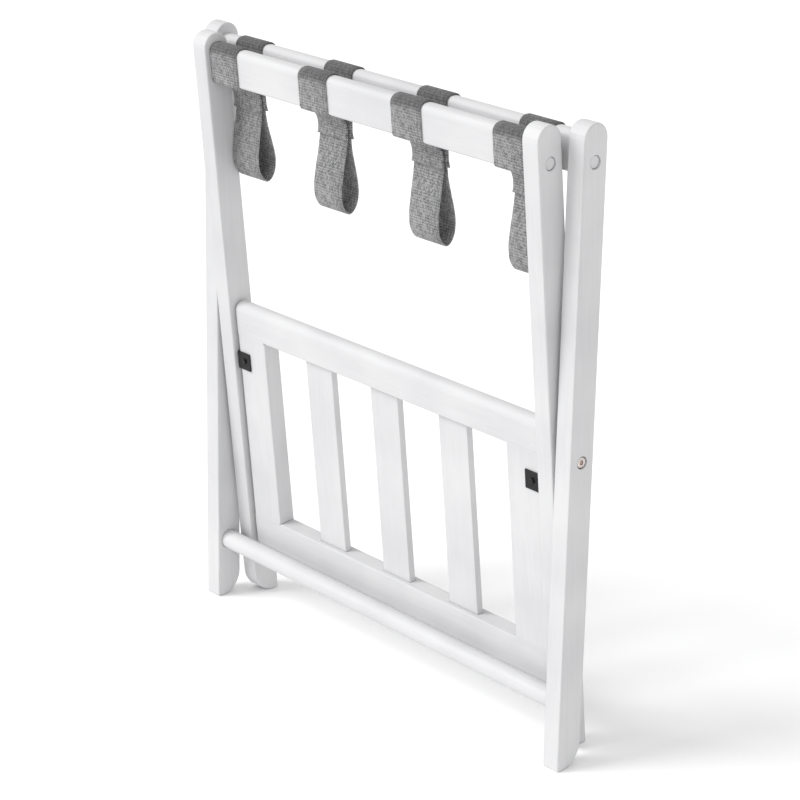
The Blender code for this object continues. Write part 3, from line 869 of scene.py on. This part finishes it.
@dataclass
class StrapSet:
    """Four webbing straps: a wrap round each rail, a hanging loop and the sewn tabs."""

    places: RackPlaces
    width: float = 0.040
    thick: float = 0.0015
    middles: tuple[float, ...] = (-0.1985, -0.0653, 0.0653, 0.1985)
    hang: float = 0.097
    wrap_step: float = 0.0016
    wrap_end_gap: float = 0.0005
    loop_step: float = 0.0017
    wrap_ripple: float = 0.00015
    loop_ripple: float = 0.0009
    tab_ripple: float = 0.0003
    tab_drop: float = 0.0275
    tab_flare: float = 0.0011
    tab_flare_from: float = 0.8
    tab_extra_wide: float = 0.0012
    stitch_rows: tuple[float, ...] = (0.16, 0.84)
    stitch_inset: float = 0.0022
    stitch_lift: float = 0.0001
    throat_share: float = 0.25
    throat_clear: float = 0.0009
    top_sway: float = 0.35
    front_run: tuple[Point2, ...] = (
        (-0.0028, 0.06), (0.0004, 0.14), (0.0008, 0.27), (-0.0022, 0.44), (-0.0056, 0.60),
        (-0.0080, 0.75), (-0.0074, 0.875), (-0.0032, 0.965),
    )
    rear_run: tuple[Point2, ...] = (
        (0.0072, 0.972), (0.0113, 0.90), (0.0130, 0.79), (0.0118, 0.67), (0.0087, 0.52),
        (0.0061, 0.38), (0.0050, 0.25), (0.0048, 0.12), (0.0053, 0.05),
    )
    sway: tuple[float, ...] = (0.0062, -0.0018, 0.0030, 0.0014)
    slack: tuple[float, ...] = (0.0004, 0.0018, 0.0034, 0.0015)
    web: HeatherWebbing = field(default_factory=HeatherWebbing)
    thread: SewingThread = field(default_factory=SewingThread)
    band: ShapeTree = field(init=False)
    stitches: ShapeTree = field(init=False)
    cloth: bpy.types.Material = field(init=False)
    yarn: bpy.types.Material = field(init=False)

    def __post_init__(self) -> None:
        """Make the trees and finishes that all the straps share."""
        self.band = webbing_tree()
        self.stitches = stitch_tree()
        self.cloth = self.web.make()
        self.yarn = self.thread.make()

    def root(self, side: Side) -> Point2:
        """Where a hanging strap leaves its rail, in the rack."""
        place = self.places
        return place.upright((place.rail_half, place.rail_bottom - self.thick - 3 * place.fit), side)

    def wrap_path(self, x: float, side: Side) -> list[Vector]:
        """Middle line of a wrap, from the rail's inner bottom corner once round it.

        Args:
            x: middle of the strap.
            side: which rail.

        Returns:
            Points of an open line whose ends nearly meet.
        """
        place = self.places
        off = place.fit + self.thick / 2
        corners = (
            (place.rail_half, place.rail_bottom, place.bottom_round, -90.0),
            (place.rail_half, place.rail_top, place.top_round, 0.0),
            (-place.rail_half, place.rail_top, place.top_round, 90.0),
            (-place.rail_half, place.rail_bottom, place.bottom_round, 180.0),
        )
        line: list[Point2] = []
        for y, z, radius, start in corners:
            middle_y = y - math.copysign(radius, y)
            middle_z = z + radius if z == place.rail_bottom else z - radius
            for step in range(9):
                angle = math.radians(start + 90.0 * step / 8)
                line.append((middle_y + (radius + off) * math.cos(angle),
                             middle_z + (radius + off) * math.sin(angle)))
        line.append((place.rail_half - place.bottom_round - self.wrap_end_gap, place.rail_bottom - off))
        return [Vector((x, *place.upright(point, side))) for point in even_line(line, self.wrap_step)]

    def hanging_path(self, x: float, sway: float, slack: float) -> list[Vector]:
        """Middle line of a hanging loop, from the front rail down, round and up to the rear.

        Args:
            x: middle of the strap.
            sway: how far its fold stands to the back.
            slack: how much lower than the others its fold hangs.

        Returns:
            Points of an open smooth line.
        """
        front, rear = self.root(Side.FRONT), self.root(Side.REAR)
        top = front[1]

        def spot(y: float, share: float) -> Point2:
            """Place one point of the loop, pushed back by the strap's own sway."""
            sideways = sway * (self.top_sway + (1.0 - self.top_sway) * share)
            return y + sideways, top - (self.hang + slack) * share

        shape: list[Point2] = [front]
        shape.extend(spot(y, share) for y, share in self.front_run)
        shape.append(spot(0.0018, 1.0))
        shape.extend(spot(y, share) for y, share in self.rear_run)
        shape.append(rear)
        return [Vector((x, y, z)) for y, z in even_line(smooth_line(shape), self.loop_step)]

    def tab_path(self, x: float, side: Side, loop: Sequence[Vector]) -> list[Vector]:
        """Middle line of a sewn tab, laid on the outside of the top of its strap.

        Args:
            x: middle of the strap.
            side: which rail it hangs from.
            loop: the hanging loop's line, front end first.

        Returns:
            Points of an open line.
        """
        line = list(loop) if side is Side.FRONT else list(reversed(loop))
        way = -1.0 if side is Side.FRONT else 1.0
        top = line[0].z
        kept = [p for p in line[: len(line) // 3] if p.z > top - self.tab_drop]
        gap = self.thick + self.places.fit / 2
        steep = self.tab_flare / (1.0 - self.tab_flare_from) / (len(kept) - 1)
        start = self.tab_flare_from * (len(kept) - 1)
        return [Vector((x, p.y + way * (gap + steep * max(0.0, k - start)), p.z))
                for k, p in enumerate(kept)]

    def make_wrap(self, number: int, x: float, side: Side) -> bpy.types.Object:
        """Make one wrap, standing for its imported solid.

        Args:
            number: strap number, from 1.
            x: middle of the strap.
            side: which rail.

        Returns:
            The wrap.
        """
        path = self.wrap_path(x, side)
        node = f"strap_{number}_{side.value}_wrap"
        piece = self.band.run(node + "_webbing", [path], self.cloth, Width=self.width,
                              Thickness=self.thick, Ripple=self.wrap_ripple)
        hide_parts(node)
        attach(piece, "inner_frame" if side is Side.FRONT else "outer_frame")
        return piece

    def make_loop(self, number: int, x: float, path: Sequence[Vector]) -> bpy.types.Object:
        """Make one hanging loop, standing for the imported strap halves.

        Args:
            number: strap number, from 1.
            x: middle of the strap; not used.
            path: its middle line.

        Returns:
            The loop.
        """
        piece = self.band.run(f"strap_{number}_hanging_loop", [path], self.cloth,
                              Width=self.width, Thickness=self.thick, Ripple=self.loop_ripple)
        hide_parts(f"strap_{number}_front_half", f"strap_{number}_rear_half")
        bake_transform(piece)
        return piece

    def make_tab(self, number: int, x: float, side: Side,
                 loop: Sequence[Vector]) -> tuple[bpy.types.Object, list[list[Vector]]]:
        """Make one sewn tab and the lines of its stitch rows.

        Args:
            number: strap number, from 1.
            x: middle of the strap.
            side: which rail it hangs from.
            loop: the hanging loop's line.

        Returns:
            The tab, and the lines along which it is sewn.
        """
        path = self.tab_path(x, side, loop)
        wide = self.width + self.tab_extra_wide
        piece = self.band.run(f"strap_{number}_{side.value}_tab", [path], self.cloth,
                              Width=wide, Thickness=self.thick, Ripple=self.tab_ripple)
        body = "strap_front_halves" if side is Side.FRONT else "strap_rear_halves"
        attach(piece, body)
        way = -1.0 if side is Side.FRONT else 1.0
        rows: list[list[Vector]] = []
        half = self.width / 2 - self.stitch_inset
        for share in self.stitch_rows:
            spot = path[round(share * (len(path) - 1))]
            y = spot.y + way * (self.thick / 2 + self.stitch_lift)
            rows.append([Vector((x - half + 2 * half * k / 12, y, spot.z)) for k in range(13)])
        return piece, rows

    def build(self) -> None:
        """Build and dress all four straps and the stitching on each body."""
        seams: dict[Side, list[list[Vector]]] = {Side.FRONT: [], Side.REAR: []}
        for number, (x, sway, slack) in enumerate(zip(self.middles, self.sway, self.slack), start=1):
            loop = self.hanging_path(x, sway, slack)
            for side in Side:
                report(self.make_wrap(number, x, side))
            report(self.make_loop(number, x, loop))
            for side in Side:
                tab, rows = self.make_tab(number, x, side, loop)
                seams[side].extend(rows)
                report(tab)
        for side, body in ((Side.FRONT, "strap_front_halves"), (Side.REAR, "strap_rear_halves")):
            sewn = self.stitches.run(f"{side.value}_tab_stitches", seams[side], self.yarn)
            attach(sewn, body)
            report(sewn)


def report(piece: bpy.types.Object) -> None:
    """Log one finished piece with its face count."""
    LOG.info("piece %s has %d faces", piece.name, len(piece.data.polygons))


def smooth_line(points: Sequence[Point2], steps: int = 12) -> list[Point2]:
    """Catmull-Rom curve through points.

    Args:
        points: points that it goes through.
        steps: how many pieces each stretch is cut into.

    Returns:
        Points of the curve.
    """
    padded = [points[0], *points, points[-1]]
    line: list[Point2] = []
    for a, b, c, d in zip(padded, padded[1:], padded[2:], padded[3:]):
        for k in range(steps):
            t = k / steps
            line.append(tuple(
                0.5 * (2 * b[i] + (c[i] - a[i]) * t + (2 * a[i] - 5 * b[i] + 4 * c[i] - d[i]) * t ** 2
                       + (3 * b[i] - a[i] - 3 * c[i] + d[i]) * t ** 3) for i in (0, 1)))
    line.append(points[-1])
    return line


def even_line(points: Sequence[Point2], spacing: float) -> list[Point2]:
    """Points at even distances along a line.

    Args:
        points: the line.
        spacing: distance wanted between them.

    Returns:
        The evenly placed points, both ends kept.
    """
    runs = [0.0]
    for a, b in zip(points, points[1:]):
        runs.append(runs[-1] + math.dist(a, b))
    count = max(2, round(runs[-1] / spacing))
    line: list[Point2] = []
    place = 0
    for k in range(count + 1):
        want = runs[-1] * k / count
        while place < len(runs) - 2 and runs[place + 1] < want:
            place += 1
        step = runs[place + 1] - runs[place]
        t = 0.0 if step == 0 else (want - runs[place]) / step
        a, b = points[place], points[place + 1]
        line.append((a[0] + (b[0] - a[0]) * t, a[1] + (b[1] - a[1]) * t))
    return line


# ---------------------------------------------------------------- studio
@dataclass
class Studio:
    """White floor, soft lights and the camera."""

    places: RackPlaces
    floor_half: float = 30.0
    world_strength: float = 0.80
    sun_strength: float = 2.20
    sun_spread: float = 32.0
    sun_from: Triple = (-0.50, -0.62, 0.62)
    fill_strength: float = 0.32
    fill_spread: float = 60.0
    fill_from: Triple = (0.80, -0.50, 0.30)
    world_tone: Colour = (1.0, 1.0, 1.0)
    camera_place: Triple = (1.76852, -1.51241, 0.92437)
    camera_turn: Triple = (67.98142, 1.29321, 48.61843)
    lens: float = 118.246
    sensor: float = 36.0

    def make_floor(self) -> None:
        """Make the floor that the rack stands on."""
        mesh = bpy.data.meshes.new("studio_floor")
        s = self.floor_half
        mesh.from_pydata([(-s, -s, 0.0), (s, -s, 0.0), (s, s, 0.0), (-s, s, 0.0)], [],
                         [(0, 1, 2, 3)])
        floor = bpy.data.objects.new("studio_floor", mesh)
        bpy.context.scene.collection.objects.link(floor)
        mesh.materials.append(StudioFloor().make())

    def make_sun(self, name: str, strength: float, spread: float, place: Triple) -> None:
        """Make one soft light that falls evenly on the rack and the whole floor.

        Args:
            name: name of the light.
            strength: how bright it is.
            spread: how wide it looks from the rack, in degrees.
            place: direction that it comes from.
        """
        lamp = bpy.data.lights.new(name, "SUN")
        lamp.energy = strength
        lamp.angle = math.radians(spread)
        holder = bpy.data.objects.new(name, lamp)
        bpy.context.scene.collection.objects.link(holder)
        holder.rotation_euler = Vector(place).to_track_quat("Z", "Y").to_euler()

    def make_world(self) -> None:
        """Make the even white surround."""
        world = bpy.data.worlds.new("soft_surround")
        world.use_nodes = True
        surround = world.node_tree.nodes["Background"]
        surround.inputs["Color"].default_value = (*self.world_tone, 1.0)
        surround.inputs["Strength"].default_value = self.world_strength
        bpy.context.scene.world = world
        bpy.context.scene.view_settings.view_transform = "Standard"

    def make_camera(self) -> None:
        """Make the camera and set it as the scene's own."""
        lens = bpy.data.cameras.new("camera")
        lens.sensor_width = self.sensor
        lens.lens = self.lens
        camera = bpy.data.objects.new("camera", lens)
        bpy.context.scene.collection.objects.link(camera)
        camera.location = Vector(self.camera_place) + Vector((0.0, 0.0, self.places.bolt_z))
        camera.rotation_euler = Euler([math.radians(a) for a in self.camera_turn], "XYZ")
        bpy.context.scene.camera = camera

    def build(self) -> None:
        """Build the whole studio."""
        self.make_world()
        self.make_floor()
        self.make_sun("soft_key", self.sun_strength, self.sun_spread, self.sun_from)
        self.make_sun("soft_fill", self.fill_strength, self.fill_spread, self.fill_from)
        self.make_camera()
        LOG.info("studio is ready")


def main() -> None:
    """Build the rack's finishes and straps, then the studio."""
    logging.basicConfig(level=logging.INFO, format="%(name)s: %(message)s")
    places = RackPlaces()
    LOG.info("lean %.3f degrees, bolts at %.4f m", math.degrees(places.lean), places.bolt_z)
    PaintedTimber().dress()
    ShelfSeams(places).build()
    Hardware().dress()
    StrapSet(places).build()
    Studio(places).build()


if __name__ == "__main__":
    main()
